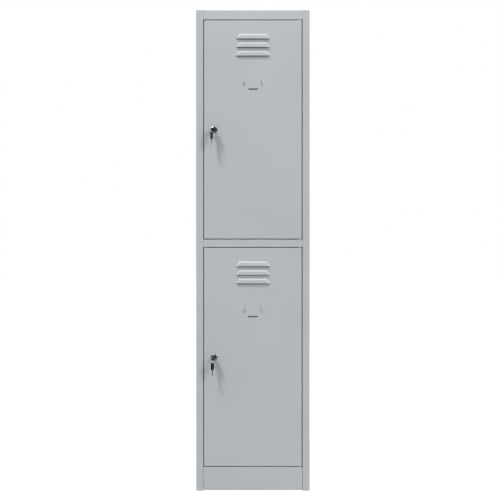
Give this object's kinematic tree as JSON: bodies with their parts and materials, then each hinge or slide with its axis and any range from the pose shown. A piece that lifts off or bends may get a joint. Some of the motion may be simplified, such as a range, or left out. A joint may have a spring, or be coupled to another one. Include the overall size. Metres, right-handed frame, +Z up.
{
  "type": "locker cabinet",
  "caption": "Narrow two-tier steel locker cabinet with hinged louvred doors, cam locks with keys, card holders, inner shelf and coat rails.",
  "frame": {"origin": "on the floor, in the middle of the cabinet's rear face", "axes": "+Z up, +X to the right seen from the front, the doors face -Y"},
  "size_m": [0.425, 0.5422, 1.8],
  "materials": {
    "painted_steel": "light grey powder coat, fine texture",
    "chrome": "polished",
    "zinc_steel": "zinc plated",
    "key_steel": "nickel plated",
    "black_plastic": "black moulded",
    "nylon": "natural nylon",
    "rubber": "soft black rubber"
  },
  "bodies": {
    "cabinet": {"left_side_panel": "painted_steel", "right_side_panel": "painted_steel", "back_panel": "painted_steel", "top_panel": "painted_steel", "middle_shelf": "painted_steel", "floor_panel": "painted_steel", "plinth": "painted_steel", "upper_coat_rail": "chrome", "upper_left_rail_socket": "zinc_steel", "upper_right_rail_socket": "zinc_steel", "lower_coat_rail": "chrome", "lower_left_rail_socket": "zinc_steel", "lower_right_rail_socket": "zinc_steel", "upper_top_pin": "zinc_steel", "upper_bottom_pin": "zinc_steel", "lower_top_pin": "zinc_steel", "lower_bottom_pin": "zinc_steel"},
    "upper_door": {"upper_door_skin": "painted_steel", "upper_door_stiffener": "painted_steel", "upper_top_bush": "nylon", "upper_bottom_bush": "nylon", "upper_top_buffer": "rubber", "upper_bottom_buffer": "rubber", "upper_lock_housing": "chrome", "upper_lock_nut": "zinc_steel"},
    "upper_plug": {"upper_lock_plug": "chrome", "upper_lock_cam": "zinc_steel", "upper_cam_screw": "zinc_steel"},
    "upper_key": {"upper_key_blade": "key_steel", "upper_key_bow": "black_plastic"},
    "upper_ring": {"upper_key_ring": "key_steel"},
    "upper_spare_key": {"upper_spare_blade": "key_steel", "upper_spare_bow": "black_plastic"},
    "lower_door": {"lower_door_skin": "painted_steel", "lower_door_stiffener": "painted_steel", "lower_top_bush": "nylon", "lower_bottom_bush": "nylon", "lower_top_buffer": "rubber", "lower_bottom_buffer": "rubber", "lower_lock_housing": "chrome", "lower_lock_nut": "zinc_steel"},
    "lower_plug": {"lower_lock_plug": "chrome", "lower_lock_cam": "zinc_steel", "lower_cam_screw": "zinc_steel"},
    "lower_key": {"lower_key_blade": "key_steel", "lower_key_bow": "black_plastic"},
    "lower_ring": {"lower_key_ring": "key_steel"},
    "lower_spare_key": {"lower_spare_blade": "key_steel", "lower_spare_bow": "black_plastic"}
  },
  "joints": [
    {"name": "upper_door_hinge", "type": "hinge", "parent": "cabinet", "child": "upper_door", "pos_m": [0.1745, -0.494, 1.353], "axis": [0, 0, 1], "range_deg": [0, 110]},
    {"name": "upper_lock_turn", "type": "hinge", "parent": "upper_door", "child": "upper_plug", "pos_m": [-0.145, -0.5, 1.3515], "axis": [0, -1, 0], "range_deg": [0, 90]},
    {"name": "upper_key_slide", "type": "slide", "parent": "upper_plug", "child": "upper_key", "axis": [0, -1, 0], "range_m": [0, 0.02]},
    {"name": "upper_ring_hang", "type": "hinge", "parent": "upper_key", "child": "upper_ring", "pos_m": [-0.1534, -0.5302, 1.3511], "axis": [0, -1, 0], "range_deg": [-90, 0]},
    {"name": "upper_spare_swing", "type": "hinge", "parent": "upper_ring", "child": "upper_spare_key", "pos_m": [-0.1534, -0.5302, 1.33625], "axis": [1, 0, 0], "range_deg": [-35, 35]},
    {"name": "lower_door_hinge", "type": "hinge", "parent": "cabinet", "child": "lower_door", "pos_m": [0.1745, -0.494, 0.501], "axis": [0, 0, 1], "range_deg": [0, 110]},
    {"name": "lower_lock_turn", "type": "hinge", "parent": "lower_door", "child": "lower_plug", "pos_m": [-0.145, -0.5, 0.4995], "axis": [0, -1, 0], "range_deg": [-45, 45]},
    {"name": "lower_key_slide", "type": "slide", "parent": "lower_plug", "child": "lower_key", "axis": [0, -1, 0], "range_m": [0, 0.02]},
    {"name": "lower_ring_hang", "type": "hinge", "parent": "lower_key", "child": "lower_ring", "pos_m": [-0.15066, -0.5302, 0.49328], "axis": [0, -1, 0], "range_deg": [-45, 45]},
    {"name": "lower_spare_swing", "type": "hinge", "parent": "lower_ring", "child": "lower_spare_key", "pos_m": [-0.15066, -0.5302, 0.47843], "axis": [1, 0, 0], "range_deg": [-35, 35]}
  ],
  "couplings": [
    {"joint": "upper_ring_hang", "follows": "upper_lock_turn", "ratio": -1},
    {"joint": "lower_ring_hang", "follows": "lower_lock_turn", "ratio": -1}
  ]
}
